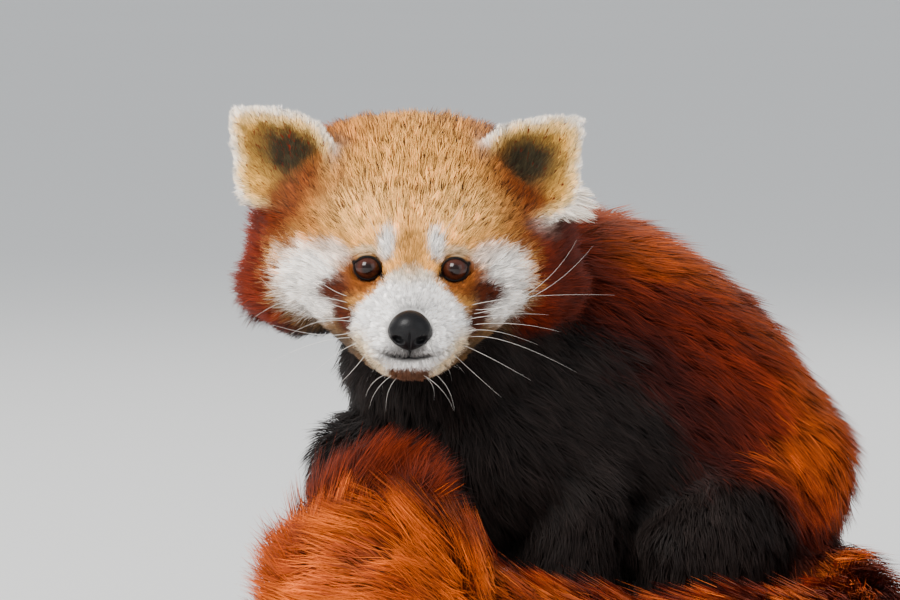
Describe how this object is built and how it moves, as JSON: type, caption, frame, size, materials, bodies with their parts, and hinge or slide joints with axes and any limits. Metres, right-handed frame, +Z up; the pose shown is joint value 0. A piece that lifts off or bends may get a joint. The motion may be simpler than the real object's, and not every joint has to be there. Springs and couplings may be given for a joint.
{
  "type": "red panda",
  "caption": "Life-size red panda hunched on the floor, facing the front, trunk curled away behind the head and the ringed bushy tail laid round its feet.",
  "frame": {"origin": "middle of the floor under the animal's bounding box", "axes": "+Z up, the face looks along -Y, and the animal's left side is +X"},
  "size_m": [0.3396, 0.3654, 0.2965],
  "materials": {
    "coat_gold": "matt fur, golden tan with a cream face",
    "coat_rust": "matt fur, rust red",
    "coat_dark": "matt fur, near black",
    "coat_cream": "matt fur, cream white with a dark inner ear",
    "tail_rust": "matt fur, rust red with paler rings",
    "tail_gold": "matt fur, orange gold with darker rings",
    "nose_leather": "moist, fine grained",
    "eye": "wet gloss",
    "claw": "smooth horn"
  },
  "bodies": {
    "root": {"eye_left": "eye", "eye_right": "eye", "nose": "nose_leather", "head": "coat_gold", "ear_left": "coat_cream", "ear_right": "coat_cream", "neck": "coat_rust", "trunk": "coat_rust", "paw_front_left": "coat_dark", "leg_front_left": "coat_dark", "paw_front_right": "coat_dark", "leg_front_right": "coat_dark", "paw_hind_left": "coat_dark", "leg_hind_left": "coat_dark", "paw_hind_right": "coat_dark", "leg_hind_right": "coat_dark", "tail_root": "tail_rust", "tail_side": "tail_gold", "tail_front": "tail_rust", "tail_bend": "tail_gold", "tail_tip": "tail_rust", "claw_front_left_1": "claw", "claw_front_left_2": "claw", "claw_front_left_3": "claw", "claw_front_left_4": "claw", "claw_front_left_5": "claw", "claw_front_right_1": "claw", "claw_front_right_2": "claw", "claw_front_right_3": "claw", "claw_front_right_4": "claw", "claw_front_right_5": "claw", "claw_hind_left_1": "claw", "claw_hind_left_2": "claw", "claw_hind_left_3": "claw", "claw_hind_left_4": "claw", "claw_hind_left_5": "claw", "claw_hind_right_1": "claw", "claw_hind_right_2": "claw", "claw_hind_right_3": "claw", "claw_hind_right_4": "claw", "claw_hind_right_5": "claw"}
  },
  "joints": []
}
